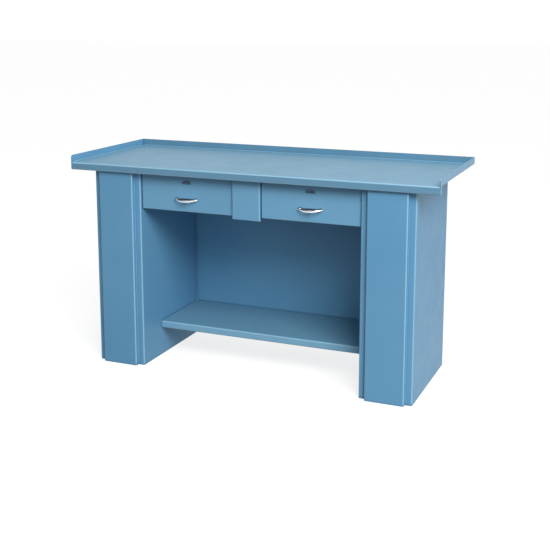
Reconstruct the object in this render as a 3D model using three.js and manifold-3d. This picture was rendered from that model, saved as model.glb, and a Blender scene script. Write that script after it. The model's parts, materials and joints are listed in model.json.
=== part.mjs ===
// A workbench of folded sheet steel: a rimmed worktop tray on two pedestals, a low shelf between
// them, and two lockable drawers hung under the top on either side of a centre hanger.
//
// Millimetres. +Z is up, +X is to the right, and the bench faces -Y. The origin is on the floor,
// at the middle of the bench's outline.

import * as THREE from 'three';
import { mergeVertices } from 'three/addons/utils/BufferGeometryUtils.js';
import Module from 'manifold-3d';

const wasm = await Module();
wasm.setup();

// ---------------------------------------------------------------- driving dimensions

// Sheet work
const SHEET = 2; // folded sheet
const PLATE = 3; // flat end plates of the pedestals
const GAP = 0.3; // clearance between pieces that touch
const FOLD = 4; // radius of a fold at the middle of the sheet
const TIGHT_FOLD = 2; // the same, on small sections
const FOLD_STEPS = 6; // facets in a fold's quarter turn

// Worktop tray
const BENCH_WIDTH = 1500;
const BENCH_DEPTH = 570;
const BENCH_HEIGHT = 850;
const RIM_HEIGHT = 28;
const RIM_NOSE = 8; // rounding of the rim's upper front corners
const TRAY_FOLD = 6;
const APRON_HEIGHT = 30;
const APRON_RETURN = 12;

// Pedestals
const PEDESTAL_WIDTH = 205;
const PEDESTAL_DEPTH = 494;
const PEDESTAL_OUTER = 660; // bench centre to a pedestal's outer face
const PEDESTAL_SETBACK = 16; // apron to pedestal front
const STEP_WIDTH = 27; // rebate down each front corner
const STEP_DEPTH = 18;
const BACK_FLANGE = 22;

// Shelf and back
const SHELF_TOP = 146;
const SHELF_LIP = 29;
const SHELF_SETBACK = 178; // apron to shelf front
const SHELF_RETURN = 14;
const BRACKET_LEG = 24;
const BACK_FLANGE_DEPTH = 16;
const FLANGE_RELIEF = 6; // shelf top to the foot of the back panel's flanges

// Centre hanger, between the drawers
const PANEL_WIDTH = 114;
const PANEL_BOTTOM = 637;
const PANEL_DEPTH = 14;
const HANGER_WIDTH = 112;
const HANGER_BOTTOM = 646;
const HANGER_LIP = 12;

// Drawers
const DRAWER_SETBACK = 29; // pedestal front to drawer front
const DRAWER_GAP = 2; // shadow gap round a drawer front
const DRAWER_BOTTOM = 648;
const DRAWER_FRONT_HEIGHT = 140;
const DRAWER_FRONT_DEPTH = 18;
const BOX_BOTTOM = 658;
const BOX_HEIGHT = 110;
const BOX_BACK = 200;
const BOX_FLANGE = 8; // width of the box's front flanges
const RUNNER_HEIGHT = 12;
const RUNNER_LENGTH = 415;
const RUNNER_LEVEL = 712;
const RAIL_HEIGHT = 18.8;
const RAIL_REACH = 12;
const RUNNING_CLEARANCE = 1.2;
const BUFFER_RADIUS = 11;

// Bow handles
const HANDLE_LEVEL = 699;
const HANDLE_LENGTH = 100;
const HANDLE_REACH = 24;
const HANDLE_DROP = 5;
const HANDLE_BAR_HALF_DEPTH = 3;
const HANDLE_BAR_HALF_HEIGHT = 4.2;
const HANDLE_FOOT_SPACING = 80;
const HANDLE_FOOT_RADIUS = 4.5;
const HANDLE_FOOT_LENGTH = 8;
const HANDLE_FOOT_LEVEL = HANDLE_LEVEL - 1;
const HANDLE_STEM_WIDTH = 16;
const HANDLE_STEM_HEIGHT = 4;
const HANDLE_PLATE = 1.2;
const HANDLE_PLATE_LENGTH = 92;
const HANDLE_PLATE_HEIGHT = 12;
const HANDLE_PLATE_DROP = 4; // handle level to the middle of the plate
const HANDLE_PLATE_BOSS = 6.5; // radius of the plate's round ends, under the feet
const HANDLE_SCREW_BITE = 4.2; // how far a screw runs into a foot
const SCREW_RADIUS = 2;
const SCREW_HEAD_RADIUS = 4.2;
const SCREW_HEAD_HEIGHT = 2.6;
const SCREW_SIDES = 12;

// Cam locks
const LOCK_LEVEL = 765;
const LOCK_CUP_WIDTH = 36;
const LOCK_CUP_HEIGHT = 13;
const LOCK_CUP_DEPTH = 7;
const LOCK_CUP_FLANGE = 1.5;
const LOCK_HOUSING_RADIUS = 9;
const LOCK_HOUSING_END = 24;
const BARREL_RADIUS = 4.5;
const CAM_WIDTH = 16;
const CAM_LENGTH = 32;
const CAM_THICKNESS = 3;
const ARCH_STEPS = 16; // facets in the lock's curved outlines

// Under-top sections
const HAT_HEIGHT = 27.7;
const HAT_CROWN = 44;
const HAT_FLANGE = 23;
const STRIKE_RAIL_DEPTH = 20;
const STRIKE_RAIL_HEIGHT = 28.7;
const STRIKE_RAIL_LIP = 9;

// Fixings of the tray: a stud, nut and washer in each corner of a pedestal
const NUT_INSET = 38;
const STUD_RADIUS = 4;
const STUD_HOLE_RADIUS = 4.5;
const NUT_RADIUS = 7.5;
const NUT_HEIGHT = 6.5;
const WASHER_RADIUS = 8.5;
const WASHER_HEIGHT = 1.6;

// ---------------------------------------------------------------- derived places

const FRONT = -BENCH_DEPTH / 2;
const TOP_SURFACE = BENCH_HEIGHT - RIM_HEIGHT;
const TOP_UNDERSIDE = TOP_SURFACE - SHEET;
const PEDESTAL_FRONT = FRONT + PEDESTAL_SETBACK;
const PEDESTAL_BACK = PEDESTAL_FRONT + PEDESTAL_DEPTH;
const PEDESTAL_INNER = PEDESTAL_OUTER - PEDESTAL_WIDTH;
const PEDESTAL_CENTRE = PEDESTAL_OUTER - PEDESTAL_WIDTH / 2;
const PEDESTAL_TOP = TOP_UNDERSIDE - GAP;
const BAY_HALF = PEDESTAL_INNER - 2 * GAP;
const SHELF_FRONT = FRONT + SHELF_SETBACK;
const PANEL_FACE = PEDESTAL_FRONT + STEP_DEPTH;
const DRAWER_FACE = PEDESTAL_FRONT + DRAWER_SETBACK;
const BACK_PANEL_FACE = PEDESTAL_BACK - SHEET;
const HANGER_HALF = HANGER_WIDTH / 2;
const HANDLE_BACK = DRAWER_FACE - HANDLE_PLATE - 2 * GAP;
const HANDLE_SCREW_END = HANDLE_BACK - HANDLE_SCREW_BITE;
const BARREL_END = DRAWER_FACE + LOCK_HOUSING_END + 1;

// A drawer lies between these two planes, measured from the bench's centre.
const DRAWER_NEAR = PANEL_WIDTH / 2 + DRAWER_GAP;
const DRAWER_FAR = PEDESTAL_INNER - DRAWER_GAP;
const DRAWER_CENTRE = (DRAWER_NEAR + DRAWER_FAR) / 2;
const RAIL_DEPTH = RAIL_REACH + SHEET;
const BOX_NEAR = HANGER_HALF + RAIL_DEPTH;
const BOX_FAR = PEDESTAL_INNER - RAIL_DEPTH;
const BOX_FRONT = DRAWER_FACE + SHEET + GAP;
const RUNNER_FRONT = DRAWER_FACE + DRAWER_FRONT_DEPTH + 1;
const RAIL_FRONT = DRAWER_FACE + DRAWER_FRONT_DEPTH + 4;
const RAIL_BACK = BOX_BACK;

const FINISHES = {
  paint: { color: 0x6a9fc2, roughness: 0.42, metalness: 0.1 },
  zinc: { color: 0xa9adb0, roughness: 0.35, metalness: 0.9 },
  chrome: { color: 0xdfe3e6, roughness: 0.08, metalness: 1.0 },
  dark: { color: 0x23282e, roughness: 0.5, metalness: 0.4 },
  nylon: { color: 0xd8d6cc, roughness: 0.55, metalness: 0.0 },
  rubber: { color: 0x202122, roughness: 0.85, metalness: 0.0 },
};

const bench = new THREE.Group();

function addPiece(name, geometry, finish) {
  const mesh = new THREE.Mesh(geometry, new THREE.MeshStandardMaterial(FINISHES[finish]));
  mesh.name = name;
  bench.add(mesh);
  return mesh;
}

// ---------------------------------------------------------------- outlines of folded sheet

const at = (x, y) => new THREE.Vector2(x, y);

// One face of a folded sheet whose middle line turns only right angles. The face lies to the
// left of the line by `offset`, so a left turn tightens it and a right turn widens it.
function foldedFace(corners, radius, offset) {
  const face = [];
  const last = corners.length - 1;
  const leftOf = (direction) => at(-direction.y, direction.x).multiplyScalar(offset);
  const directions = corners.slice(1).map((corner, i) => corner.clone().sub(corners[i]).normalize());
  face.push(corners[0].clone().add(leftOf(directions[0])));
  for (let i = 1; i < last; i++) {
    const before = directions[i - 1];
    const after = directions[i];
    const turn = Math.sign(before.cross(after));
    const bend = radius - turn * offset;
    const corner = corners[i].clone().add(leftOf(before)).add(leftOf(after));
    const centre = corner.clone().addScaledVector(before, -bend).addScaledVector(after, bend);
    for (let step = 0; step <= FOLD_STEPS; step++) {
      const angle = (step / FOLD_STEPS) * (Math.PI / 2);
      const point = centre.clone();
      point.addScaledVector(after, -bend * Math.cos(angle));
      point.addScaledVector(before, bend * Math.sin(angle));
      face.push(point);
    }
  }
  face.push(corners[last].clone().add(leftOf(directions[last - 1])));
  return face;
}

// The closed outline of a sheet of even thickness folded along a middle line.
function foldedSheet(corners, radius) {
  const left = foldedFace(corners, radius, SHEET / 2);
  const right = foldedFace(corners, radius, -SHEET / 2);
  return new THREE.Shape([...left, ...right.reverse()]);
}

// A rectangle whose two lower corners are rounded; a radius of 0 leaves a corner sharp.
function cupOutline(left, right, bottom, top, radiusLeft, radiusRight) {
  const outline = new THREE.Shape();
  outline.moveTo(left, top);
  outline.lineTo(left, bottom + radiusLeft);
  if (radiusLeft > 0) {
    outline.absarc(left + radiusLeft, bottom + radiusLeft, radiusLeft, Math.PI, 1.5 * Math.PI);
  }
  outline.lineTo(right - radiusRight, bottom);
  if (radiusRight > 0) {
    outline.absarc(right - radiusRight, bottom + radiusRight, radiusRight, -Math.PI / 2, 0);
  }
  outline.lineTo(right, top);
  outline.closePath();
  return outline;
}

// ---------------------------------------------------------------- solids

const AXIS_X = new THREE.Vector3(1, 0, 0);
const AXIS_Y = new THREE.Vector3(0, 1, 0);
const AXIS_Z = new THREE.Vector3(0, 0, 1);

function extrude(shape, depth, curveSegments = FOLD_STEPS) {
  return new THREE.ExtrudeGeometry(shape, { depth, bevelEnabled: false, curveSegments });
}

// An outline drawn in Y and Z, extruded from one X to another.
function alongX(shape, start, end) {
  const geometry = extrude(shape, end - start);
  geometry.applyMatrix4(new THREE.Matrix4().makeBasis(AXIS_Y, AXIS_Z, AXIS_X));
  return geometry.translate(start, 0, 0);
}

// An outline drawn in X and Z, extruded from one Y to another.
function alongY(shape, start, end, curveSegments) {
  const geometry = extrude(shape, end - start, curveSegments);
  geometry.applyMatrix4(new THREE.Matrix4().makeBasis(AXIS_X, AXIS_Z, AXIS_Y.clone().negate()));
  return geometry.translate(0, end, 0);
}

// An outline drawn in X and Y, extruded from one Z to another.
function alongZ(shape, start, end) {
  return extrude(shape, end - start).translate(0, 0, start);
}

// The two ends in X may come in either order.
function block(x0, x1, y0, y1, z0, z1) {
  const geometry = new THREE.BoxGeometry(Math.abs(x1 - x0), y1 - y0, z1 - z0);
  return geometry.translate((x0 + x1) / 2, (y0 + y1) / 2, (z0 + z1) / 2);
}

// A cylinder, or a prism of few sides, along Y.
function rodAlongY(radius, x, z, y0, y1, sides = 20) {
  const geometry = new THREE.CylinderGeometry(radius, radius, y1 - y0, sides);
  return geometry.translate(x, (y0 + y1) / 2, z);
}

function rodAlongZ(radius, x, y, z0, z1, sides = 20) {
  const geometry = new THREE.CylinderGeometry(radius, radius, z1 - z0, sides);
  return geometry.rotateX(Math.PI / 2).translate(x, y, (z0 + z1) / 2);
}

function solid(geometry) {
  const bare = geometry.clone();
  bare.deleteAttribute('normal');
  bare.deleteAttribute('uv');
  const merged = mergeVertices(bare, 1e-4);
  return new wasm.Manifold(new wasm.Mesh({
    numProp: 3,
    vertProperties: Float32Array.from(merged.attributes.position.array),
    triVerts: Uint32Array.from(merged.index.array),
  }));
}

function geometryOf(manifold) {
  const mesh = manifold.getMesh();
  const geometry = new THREE.BufferGeometry();
  geometry.setAttribute('position', new THREE.BufferAttribute(mesh.vertProperties, 3));
  geometry.setIndex(new THREE.BufferAttribute(mesh.triVerts, 1));
  geometry.computeVertexNormals();
  return geometry;
}

function join(...geometries) {
  const joined = geometries.map(solid).reduce((sum, next) => sum.add(next));
  return geometryOf(joined);
}

function cut(geometry, ...tools) {
  const rest = tools.map(solid).reduce((sum, next) => sum.subtract(next), solid(geometry));
  return geometryOf(rest);
}

function common(first, second) {
  return geometryOf(solid(first).intersect(solid(second)));
}

// A rectangular block with its lower edges rounded all round, standing on z = 0.
function cushionBlock(width, depth, height, radius, frontRadius) {
  const across = cupOutline(-width / 2, width / 2, 0, height, radius, radius);
  const fore = cupOutline(-depth / 2, depth / 2, 0, height, frontRadius, radius);
  return common(alongY(across, -depth, depth), alongX(fore, -width, width));
}

// An open pan of folded sheet, floor down, standing on z = 0. A front radius of 0 leaves the
// edge at -Y unrounded.
function pan(width, depth, height, radius, frontRadius = radius) {
  const outside = cushionBlock(width, depth, height, radius, frontRadius);
  const innerRadius = radius - SHEET;
  const innerFront = Math.max(frontRadius - SHEET, 0);
  const inside = cushionBlock(width - 2 * SHEET, depth - 2 * SHEET, height, innerRadius, innerFront);
  return cut(outside, inside.translate(0, 0, SHEET));
}

// ---------------------------------------------------------------- worktop

// The sheet is folded up into a rim at the back and both ends, and down into an apron in front.
// Each end rim reaches down over the end of the apron and closes it.
function worktopTray() {
  const basin = pan(BENCH_WIDTH, BENCH_DEPTH, RIM_HEIGHT + SHEET, TRAY_FOLD, 0);
  basin.translate(0, 0, TOP_UNDERSIDE);
  const insideEnd = BENCH_WIDTH / 2 - SHEET;
  const frontStrip = block(
    -insideEnd, insideEnd,
    FRONT - 1, FRONT + 2 * TRAY_FOLD,
    TOP_UNDERSIDE - 1, BENCH_HEIGHT + 1,
  );
  const half = SHEET / 2;
  const apronBottom = TOP_SURFACE - APRON_HEIGHT + half;
  const apronLine = [
    at(FRONT + 3 * TRAY_FOLD, TOP_SURFACE - half),
    at(FRONT + half, TOP_SURFACE - half),
    at(FRONT + half, apronBottom),
    at(FRONT + APRON_RETURN, apronBottom),
  ];
  const apron = alongX(foldedSheet(apronLine, TRAY_FOLD - half), -BENCH_WIDTH / 2, BENCH_WIDTH / 2);
  const endOutline = foldedFace(apronLine, TRAY_FOLD - half, -half);
  endOutline.push(at(FRONT + 3 * TRAY_FOLD, TOP_SURFACE - APRON_HEIGHT));
  const ends = [-1, 1].flatMap((side) => {
    const [start, end] = [side * insideEnd, side * (insideEnd + SHEET)].sort((a, b) => a - b);
    const closure = alongX(new THREE.Shape(endOutline), start, end);
    const corner = block(
      start, end,
      FRONT, FRONT + 3 * TRAY_FOLD,
      TOP_SURFACE - APRON_HEIGHT / 2, TOP_UNDERSIDE + TRAY_FOLD - half,
    );
    return [closure, corner];
  });
  return cut(join(cut(basin, frontStrip), apron, ...ends), rimNose());
}

// What is left of a square corner outside a quarter circle, along the bench's whole width.
function rimNose() {
  const corner = new THREE.Shape();
  corner.moveTo(FRONT - 1, BENCH_HEIGHT - RIM_NOSE);
  corner.lineTo(FRONT, BENCH_HEIGHT - RIM_NOSE);
  corner.absarc(FRONT + RIM_NOSE, BENCH_HEIGHT - RIM_NOSE, RIM_NOSE, Math.PI, Math.PI / 2, true);
  corner.lineTo(FRONT + RIM_NOSE, BENCH_HEIGHT + 1);
  corner.lineTo(FRONT - 1, BENCH_HEIGHT + 1);
  corner.closePath();
  return alongX(corner, -BENCH_WIDTH, BENCH_WIDTH);
}

// A top-hat channel from front to back, its open side against the tray.
function worktopStiffener(centre) {
  const top = TOP_UNDERSIDE - GAP - SHEET / 2;
  const crown = top - HAT_HEIGHT + SHEET;
  const half = HAT_CROWN / 2;
  const hat = [
    at(centre - half - HAT_FLANGE, top),
    at(centre - half, top),
    at(centre - half, crown),
    at(centre + half, crown),
    at(centre + half, top),
    at(centre + half + HAT_FLANGE, top),
  ];
  return alongY(foldedSheet(hat, TIGHT_FOLD), DRAWER_FACE + 36, BOX_BACK + 8);
}

// The channel over each drawer front, which the lock's cam turns up behind.
function strikeRail(side) {
  const top = TOP_UNDERSIDE - GAP - SHEET / 2;
  const bottom = top - STRIKE_RAIL_HEIGHT + SHEET;
  const front = DRAWER_FACE + 4 + SHEET / 2;
  const back = front + STRIKE_RAIL_DEPTH - SHEET;
  const channel = [
    at(back, top - STRIKE_RAIL_LIP), at(back, top), at(front, top),
    at(front, bottom), at(back, bottom), at(back, bottom + STRIKE_RAIL_LIP),
  ];
  const near = HANGER_HALF + GAP;
  const start = side < 0 ? -BAY_HALF : near;
  const end = side < 0 ? -near : BAY_HALF;
  return alongX(foldedSheet(channel, TIGHT_FOLD), start, end);
}

// ---------------------------------------------------------------- pedestals

// The middle line of a pedestal's wrapped sheet, drawn in from its outer faces by `inset`.
function pedestalLine(inset, backInset) {
  const side = PEDESTAL_WIDTH / 2 - inset;
  const face = PEDESTAL_FRONT + inset;
  const strip = face + STEP_DEPTH;
  const step = PEDESTAL_WIDTH / 2 - STEP_WIDTH - inset;
  const back = PEDESTAL_BACK - backInset;
  return [
    at(-side, back), at(-side, strip), at(-step, strip), at(-step, face),
    at(step, face), at(step, strip), at(side, strip), at(side, back),
  ];
}

// One sheet wraps the outer side, the rebated front and the inner side, and turns in at the back.
function pedestalShell() {
  const inset = SHEET / 2;
  const wrap = pedestalLine(inset, inset);
  const flangeEnd = PEDESTAL_WIDTH / 2 - BACK_FLANGE;
  const back = PEDESTAL_BACK - inset;
  const line = [at(-flangeEnd, back), ...wrap, at(flangeEnd, back)];
  return alongZ(foldedSheet(line, FOLD), 0, PEDESTAL_TOP);
}

// A flat plate that fills the wrapped sheet's section.
function pedestalPlate(bottom) {
  const outline = foldedFace(pedestalLine(SHEET / 2, SHEET + FOLD), FOLD, SHEET / 2 + GAP);
  return alongZ(new THREE.Shape(outline), bottom, bottom + PLATE);
}

function nutPlaces() {
  const across = PEDESTAL_WIDTH / 2 - NUT_INSET;
  const fore = PEDESTAL_FRONT + STEP_DEPTH + NUT_INSET;
  const aft = PEDESTAL_BACK - NUT_INSET;
  return {
    front_left: at(-across, fore),
    front_right: at(across, fore),
    back_left: at(-across, aft),
    back_right: at(across, aft),
  };
}

function pedestalTopPlate() {
  const holes = Object.values(nutPlaces()).map(
    (place) => rodAlongZ(STUD_HOLE_RADIUS, place.x, place.y, PEDESTAL_TOP - 10, PEDESTAL_TOP + 10),
  );
  return cut(pedestalPlate(PEDESTAL_TOP - PLATE), ...holes);
}

function pedestalBackCover() {
  const half = PEDESTAL_WIDTH / 2 - 2;
  const face = PEDESTAL_BACK + GAP;
  return block(-half, half, face, face + SHEET, 4, PEDESTAL_TOP - 4);
}

// A stud under the tray, with its nut and washer below the pedestal's top plate.
function worktopNut(place) {
  const plateBottom = PEDESTAL_TOP - PLATE;
  const washerTop = plateBottom - GAP;
  const nutTop = washerTop - WASHER_HEIGHT;
  const stud = rodAlongZ(STUD_RADIUS, place.x, place.y, nutTop - 2 * NUT_HEIGHT, PEDESTAL_TOP, 12);
  const washer = rodAlongZ(WASHER_RADIUS, place.x, place.y, nutTop - 0.1, washerTop);
  const nut = rodAlongZ(NUT_RADIUS, place.x, place.y, nutTop - NUT_HEIGHT, nutTop, 6);
  return join(stud, washer, nut);
}

function addPedestal(word, side) {
  const centre = side * PEDESTAL_CENTRE;
  const place = (name, geometry, finish) => {
    addPiece(name, geometry, finish).position.x = centre;
  };
  place(`pedestal_${word}_shell`, pedestalShell(), 'paint');
  place(`pedestal_${word}_base_plate`, pedestalPlate(0), 'paint');
  place(`pedestal_${word}_top_plate`, pedestalTopPlate(), 'paint');
  place(`pedestal_${word}_back_cover`, pedestalBackCover(), 'paint');
  for (const [corner, spot] of Object.entries(nutPlaces())) {
    place(`worktop_nut_${word}_${corner}`, worktopNut(spot), 'zinc');
  }
}

// ---------------------------------------------------------------- shelf, back and hanger

// The shelf's front folds down and under; its back folds down in front of the back panel.
function lowerShelf() {
  const half = SHEET / 2;
  const top = SHELF_TOP - half;
  const bottom = SHELF_TOP - SHELF_LIP + half;
  const front = SHELF_FRONT + half;
  const back = BACK_PANEL_FACE - GAP - half;
  const line = [
    at(front + SHELF_RETURN, bottom), at(front, bottom), at(front, top), at(back, top), at(back, bottom),
  ];
  return alongX(foldedSheet(line, FOLD), -BAY_HALF, BAY_HALF);
}

function shelfBracket(side) {
  const wall = side * (PEDESTAL_INNER - GAP - SHEET / 2);
  const top = SHELF_TOP - SHEET - GAP - SHEET / 2;
  const angle = [at(wall, top - BRACKET_LEG), at(wall, top), at(wall - side * BRACKET_LEG, top)];
  return alongY(foldedSheet(angle, TIGHT_FOLD), SHELF_FRONT + 22, PEDESTAL_BACK - 25);
}

function shelfStiffener() {
  const top = SHELF_TOP - SHEET - GAP - SHEET / 2;
  const crown = top - 23;
  const middle = (SHELF_FRONT + PEDESTAL_BACK) / 2;
  const hat = [
    at(middle - 30, top), at(middle - 15, top), at(middle - 15, crown),
    at(middle + 15, crown), at(middle + 15, top), at(middle + 30, top),
  ];
  const end = BAY_HALF - BRACKET_LEG - 4;
  return alongX(foldedSheet(hat, TIGHT_FOLD), -end, end);
}

// The sheet between the pedestals laps behind the shelf, its ends folded forward on their walls.
// The flanges stop short of the shelf, so that its top is clear from wall to wall.
function backPanel() {
  const end = BAY_HALF - SHEET / 2;
  const face = PEDESTAL_BACK - SHEET / 2;
  const flange = face - BACK_FLANGE_DEPTH;
  const line = [at(-end, flange), at(-end, face), at(end, face), at(end, flange)];
  const foot = SHELF_TOP - SHELF_LIP;
  const relief = block(
    -BAY_HALF - 1, BAY_HALF + 1,
    flange - 1, BACK_PANEL_FACE,
    foot - 1, SHELF_TOP + FLANGE_RELIEF,
  );
  return cut(alongZ(foldedSheet(line, TIGHT_FOLD), foot, PEDESTAL_TOP), relief);
}

// A lipped channel under the tray, open downwards, which carries both inner rails.
function centreHanger() {
  const side = HANGER_HALF - SHEET / 2;
  const top = PEDESTAL_TOP - SHEET / 2;
  const bottom = HANGER_BOTTOM + SHEET / 2;
  const lip = side - HANGER_LIP;
  const line = [
    at(-lip, bottom), at(-side, bottom), at(-side, top),
    at(side, top), at(side, bottom), at(lip, bottom),
  ];
  return alongY(foldedSheet(line, FOLD), PANEL_FACE + PANEL_DEPTH + GAP, BACK_PANEL_FACE - GAP);
}

// A pan turned to face -Y, with its open side to the back, its face at y and its foot at z.
function facingPan(width, height, depth, face, foot) {
  const turned = pan(width, height, depth, FOLD).rotateX(-Math.PI / 2);
  return turned.translate(0, face, foot + height / 2);
}

function centrePanel() {
  const height = PEDESTAL_TOP - PANEL_BOTTOM;
  return facingPan(PANEL_WIDTH, height, PANEL_DEPTH, PANEL_FACE, PANEL_BOTTOM);
}

// ---------------------------------------------------------------- drawers

// The arched outline of the lock's cup, grown by `margin` all round.
function lockArch(x, z, margin) {
  const half = LOCK_CUP_WIDTH / 2 + margin;
  const spring = z - LOCK_CUP_HEIGHT / 2 + 4;
  const rise = LOCK_CUP_HEIGHT - 4 + margin;
  const arch = new THREE.Shape();
  arch.moveTo(x - half, z - LOCK_CUP_HEIGHT / 2 - margin);
  arch.lineTo(x + half, z - LOCK_CUP_HEIGHT / 2 - margin);
  arch.lineTo(x + half, spring);
  arch.absellipse(x, spring, half, rise, 0, Math.PI);
  arch.closePath();
  return arch;
}

function archSolid(x, margin, start, end) {
  return alongY(lockArch(x, LOCK_LEVEL, margin), start, end, ARCH_STEPS);
}

function drawerFront(centre) {
  const width = DRAWER_FAR - DRAWER_NEAR;
  const face = facingPan(width, DRAWER_FRONT_HEIGHT, DRAWER_FRONT_DEPTH, DRAWER_FACE, DRAWER_BOTTOM);
  face.translate(centre, 0, 0);
  const lockHole = archSolid(centre, GAP, DRAWER_FACE - 5, DRAWER_FACE + 5);
  return cut(face, lockHole, ...handleScrewHoles(centre, DRAWER_FACE - 5, DRAWER_FACE + 5));
}

// Floor, sides and back folded from one sheet. The drawer front closes the front, against two
// narrow flanges.
function drawerBox(side) {
  const width = BOX_FAR - BOX_NEAR;
  const length = BOX_BACK - BOX_FRONT;
  const centre = side * (BOX_FAR + BOX_NEAR) / 2;
  const middle = (BOX_BACK + BOX_FRONT) / 2;
  const tray = pan(width, length, BOX_HEIGHT, FOLD, 0).translate(centre, middle, BOX_BOTTOM);
  const inside = width / 2 - SHEET;
  const opening = block(
    centre - inside, centre + inside,
    BOX_FRONT - 1, BOX_FRONT + SHEET + 0.5,
    BOX_BOTTOM + SHEET, BOX_BOTTOM + BOX_HEIGHT + 1,
  );
  const flange = (end) => {
    const edge = centre + end * width / 2;
    return block(
      edge - end, edge + end * BOX_FLANGE,
      BOX_FRONT, BOX_FRONT + SHEET,
      BOX_BOTTOM + BOX_FLANGE, BOX_BOTTOM + BOX_HEIGHT,
    );
  };
  return join(cut(tray, opening), flange(-1), flange(1));
}

// The faces between which a rail and its runner work: the wall, and the drawer side.
function railSpan(side, place) {
  return place === 'outer'
    ? { wall: side * PEDESTAL_INNER, box: side * BOX_FAR, inward: -side }
    : { wall: side * HANGER_HALF, box: side * BOX_NEAR, inward: side };
}

function drawerRail(side, place) {
  const { wall, inward } = railSpan(side, place);
  const web = wall + inward * (GAP + SHEET / 2);
  const tip = wall + inward * RAIL_REACH;
  const half = RAIL_HEIGHT / 2 - SHEET / 2;
  const channel = [
    at(tip, RUNNER_LEVEL + half), at(web, RUNNER_LEVEL + half),
    at(web, RUNNER_LEVEL - half), at(tip, RUNNER_LEVEL - half),
  ];
  return alongY(foldedSheet(channel, 1.5), RAIL_FRONT, RAIL_BACK);
}

// A bar on the drawer's side, tapered at its back end, which slides inside the rail.
function drawerRunner(side, place) {
  const { wall, box, inward } = railSpan(side, place);
  const outer = wall + inward * (GAP + SHEET + RUNNING_CLEARANCE);
  const inner = box - inward * GAP;
  const half = RUNNER_HEIGHT / 2;
  const end = RUNNER_FRONT + RUNNER_LENGTH;
  const bar = new THREE.Shape([
    at(RUNNER_FRONT, RUNNER_LEVEL - half), at(end - 20, RUNNER_LEVEL - half),
    at(end, RUNNER_LEVEL - half + 3), at(end, RUNNER_LEVEL + half - 3),
    at(end - 20, RUNNER_LEVEL + half), at(RUNNER_FRONT, RUNNER_LEVEL + half),
  ]);
  return alongX(bar, Math.min(outer, inner), Math.max(outer, inner));
}

// The two places in X where a handle stands on its feet.
function handleFeet(centre) {
  return [-0.5, 0.5].map((share) => centre + share * HANDLE_FOOT_SPACING);
}

function handleScrewHoles(centre, start, end) {
  return handleFeet(centre).map(
    (x) => rodAlongY(SCREW_RADIUS + GAP, x, HANDLE_FOOT_LEVEL, start, end, SCREW_SIDES),
  );
}

// A slim bar with pointed ends, bowed forward and down, on two feet and a middle stem.
function bowHandle(centre) {
  const halfLength = HANDLE_LENGTH / 2;
  const bar = new THREE.SphereGeometry(1, 28, 12);
  bar.rotateZ(Math.PI / 2);
  bar.scale(halfLength, HANDLE_BAR_HALF_DEPTH, HANDLE_BAR_HALF_HEIGHT);
  const endReach = HANDLE_BAR_HALF_DEPTH + 1;
  const bowReach = HANDLE_REACH - endReach - HANDLE_BAR_HALF_DEPTH;
  const points = bar.attributes.position;
  for (let i = 0; i < points.count; i++) {
    const bow = Math.cos((points.getX(i) / halfLength) * (Math.PI / 2));
    points.setY(i, points.getY(i) - endReach - bowReach * bow);
    points.setZ(i, points.getZ(i) - HANDLE_DROP * bow);
  }
  bar.translate(centre, HANDLE_BACK, HANDLE_LEVEL);
  const feet = handleFeet(centre).map((x) => rodAlongY(
    HANDLE_FOOT_RADIUS, x, HANDLE_FOOT_LEVEL, HANDLE_BACK - HANDLE_FOOT_LENGTH, HANDLE_BACK,
  ));
  const stemLevel = HANDLE_LEVEL - HANDLE_DROP;
  const stem = block(
    centre - HANDLE_STEM_WIDTH / 2, centre + HANDLE_STEM_WIDTH / 2,
    HANDLE_BACK - HANDLE_REACH + 2 * HANDLE_BAR_HALF_DEPTH, HANDLE_BACK,
    stemLevel - HANDLE_STEM_HEIGHT / 2, stemLevel + HANDLE_STEM_HEIGHT / 2,
  );
  const screwHoles = handleScrewHoles(centre, HANDLE_SCREW_END - 2 * GAP, HANDLE_BACK + 1);
  return cut(join(bar, ...feet, stem), ...screwHoles);
}

// The thin dark plate between a handle and its drawer front: a boat shape with two round ends.
function handlePlate(centre) {
  const face = DRAWER_FACE - GAP - HANDLE_PLATE;
  const level = HANDLE_LEVEL - HANDLE_PLATE_DROP;
  const boat = new THREE.CylinderGeometry(1, 1, HANDLE_PLATE, 40);
  boat.scale(HANDLE_PLATE_LENGTH / 2, 1, HANDLE_PLATE_HEIGHT / 2);
  boat.translate(centre, face + HANDLE_PLATE / 2, level);
  const bosses = handleFeet(centre).map(
    (x) => rodAlongY(HANDLE_PLATE_BOSS, x, HANDLE_FOOT_LEVEL, face, face + HANDLE_PLATE),
  );
  return cut(join(boat, ...bosses), ...handleScrewHoles(centre, face - 1, DRAWER_FACE));
}

function handleScrew(x) {
  const headFace = DRAWER_FACE + SHEET + GAP;
  const head = rodAlongY(
    SCREW_HEAD_RADIUS, x, HANDLE_FOOT_LEVEL, headFace, headFace + SCREW_HEAD_HEIGHT,
  );
  const shank = rodAlongY(
    SCREW_RADIUS, x, HANDLE_FOOT_LEVEL, HANDLE_SCREW_END, headFace + 1, SCREW_SIDES,
  );
  return join(head, shank);
}

// An arched cup let into the drawer front, open to the front, with the barrel in its floor.
function lockCup(centre) {
  const lip = archSolid(centre, LOCK_CUP_FLANGE, DRAWER_FACE - GAP - 1.2, DRAWER_FACE - GAP);
  const wall = archSolid(centre, 0, DRAWER_FACE - GAP - 0.5, DRAWER_FACE + LOCK_CUP_DEPTH);
  const hollow = archSolid(centre, -1.6, DRAWER_FACE - 3, DRAWER_FACE + LOCK_CUP_DEPTH - 1.6);
  const bore = rodAlongY(
    BARREL_RADIUS + GAP, centre, LOCK_LEVEL, DRAWER_FACE, DRAWER_FACE + LOCK_CUP_DEPTH + 1, 24,
  );
  return cut(join(lip, wall), hollow, bore);
}

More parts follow.
